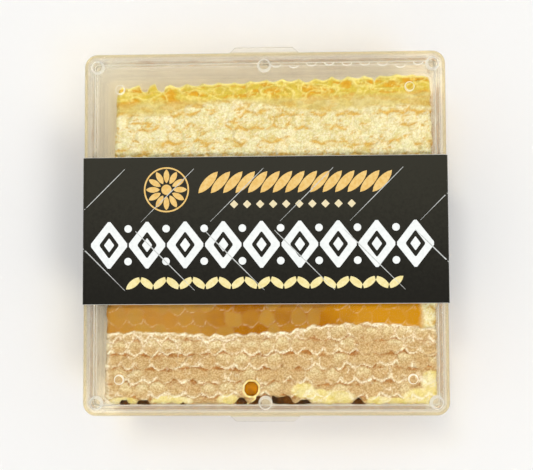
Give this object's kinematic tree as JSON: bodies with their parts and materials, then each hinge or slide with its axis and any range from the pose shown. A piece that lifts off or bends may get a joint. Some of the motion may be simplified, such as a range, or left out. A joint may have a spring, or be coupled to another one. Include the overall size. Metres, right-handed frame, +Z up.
{
  "type": "boxed honeycomb piece",
  "caption": "Square slab of cut honeycomb in a shut clear plastic box, sealed by a wide black label band over the lid.",
  "frame": {"origin": "centre of the box's underside, on the surface that it lies on", "axes": "+Z up through the lid; +X along the label band; +Y across it, towards the far thumb tab"},
  "size_m": [0.1208, 0.1236, 0.0364],
  "materials": {
    "clear_tray": "clear, glossy, with a faint warm tint in its edges",
    "clear_lid": "clear and glossy",
    "comb_wax": "satin beeswax cappings, wet with honey in one band",
    "label_paper": "satin coated paper with pale and gold print"
  },
  "bodies": {
    "root": {"tray": "clear_tray", "lid": "clear_lid", "comb": "comb_wax", "label_band": "label_paper"}
  },
  "joints": []
}
